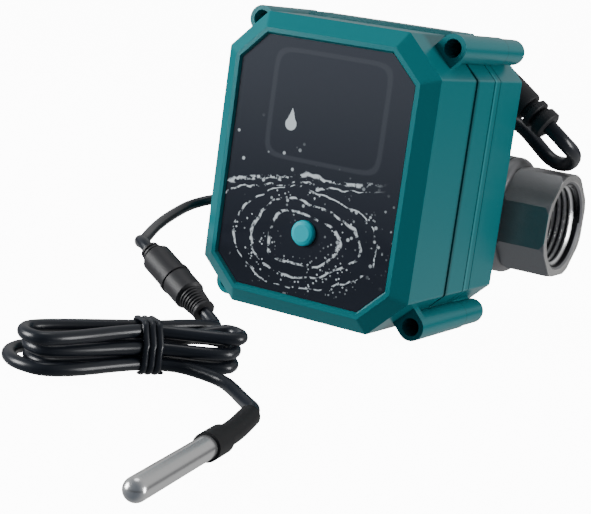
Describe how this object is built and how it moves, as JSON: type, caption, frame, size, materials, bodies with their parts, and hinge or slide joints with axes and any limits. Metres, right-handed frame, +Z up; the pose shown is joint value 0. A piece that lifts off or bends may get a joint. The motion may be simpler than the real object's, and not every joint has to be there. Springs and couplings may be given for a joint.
{
  "type": "motorised water valve",
  "caption": "Motor-driven ball valve for a water pipe: an upright plastic drive casing with a manual button on a stainless valve body, with a power cord and a probe lead.",
  "frame": {"origin": "on the floor, below the middle of the rigid valve's box, cords left out", "axes": "+X right along the water pipe as the casing is seen from the front, +Y back from the casing to the pipe, +Z up"},
  "size_m": [0.172, 0.335, 0.0862],
  "materials": {
    "case": "satin moulded",
    "label": "gloss film",
    "button": "gloss moulded",
    "steel": "zinc plated",
    "stainless": "cast and machined",
    "chrome": "polished",
    "brass": "sintered",
    "rubber": "matte",
    "cable": "satin jacket",
    "connector": "matte moulded",
    "white_plastic": "natural",
    "board": "solder mask",
    "black_plastic": "moulded",
    "alu": "drawn"
  },
  "bodies": {
    "valve": {"back_gear_plate": "steel", "board_screws": "steel", "cap_seal": "rubber", "capacitors": "alu", "case_gasket": "rubber", "case_screws": "steel", "circuit_board": "board", "coupling_ring": "connector", "end_cap": "stainless", "front_bush": "brass", "front_cover": "case", "front_gear_plate": "steel", "gear_axles": "steel", "gear_pillars": "steel", "gearbox_screws": "steel", "hank_tie": "black_plastic", "label_panel": "label", "lead_plug": "connector", "lead_socket": "connector", "left_seat": "white_plastic", "limit_switch_closed": "black_plastic", "limit_switch_open": "black_plastic", "motor": "steel", "motor_driver": "black_plastic", "motor_screws": "steel", "power_coil": "cable", "power_cord": "cable", "power_cord_end": "cable", "power_outlet": "black_plastic", "power_plug": "black_plastic", "power_plug_barrel": "chrome", "probe_sleeve": "black_plastic", "probe_tube": "chrome", "push_switch": "black_plastic", "radio_module": "steel", "rear_bush": "brass", "rear_shell": "case", "right_seat": "white_plastic", "sensor_gland": "rubber", "sensor_hank": "cable", "sensor_lead_casing": "cable", "sensor_lead_middle": "cable", "sensor_lead_probe": "cable", "terminal_block": "board", "thrust_washer": "white_plastic", "valve_body": "stainless", "valve_screws": "steel"},
    "button": {"manual_button": "button", "switch_plunger": "black_plastic"},
    "output": {"output_gear": "white_plastic", "output_shaft": "steel", "position_cam": "white_plastic", "stem": "stainless", "stem_seals": "rubber", "ball": "stainless"},
    "third": {"third_gear": "white_plastic"},
    "second": {"second_gear": "white_plastic"},
    "first": {"first_gear": "white_plastic"},
    "rotor": {"motor_shaft": "steel", "motor_pinion": "brass"}
  },
  "joints": [
    {"name": "ball_turn", "type": "hinge", "parent": "valve", "child": "output", "pos_m": [0.00815, 0, 0.0306], "axis": [0, 1, 0], "range_deg": [0, 90]},
    {"name": "third_gear_turn", "type": "hinge", "parent": "valve", "child": "third", "pos_m": [-0.00884, 0, 0.04294], "axis": [0, 1, 0], "range_deg": [-360.1, 0]},
    {"name": "second_gear_turn", "type": "hinge", "parent": "valve", "child": "second", "pos_m": [-0.00261, 0, 0.06005], "axis": [0, 1, 0], "range_deg": [0, 1200.1]},
    {"name": "first_gear_turn", "type": "hinge", "parent": "valve", "child": "first", "pos_m": [-0.00884, 0, 0.04294], "axis": [0, 1, 0], "range_deg": [-4000.1, 0]},
    {"name": "rotor_turn", "type": "hinge", "parent": "valve", "child": "rotor", "pos_m": [-0.01506, 0, 0.02584], "axis": [0, 1, 0], "range_deg": [0, 13333.6]},
    {"name": "button_push", "type": "slide", "parent": "valve", "child": "button", "axis": [0, 1, 0], "range_m": [0, 0.0005], "stiffness_N_per_m": 600, "springref_m": -0.0005}
  ],
  "couplings": [
    {"joint": "third_gear_turn", "follows": "ball_turn", "ratio": -4},
    {"joint": "second_gear_turn", "follows": "ball_turn", "ratio": 13.333},
    {"joint": "first_gear_turn", "follows": "ball_turn", "ratio": -44.444},
    {"joint": "rotor_turn", "follows": "ball_turn", "ratio": 148.15}
  ]
}
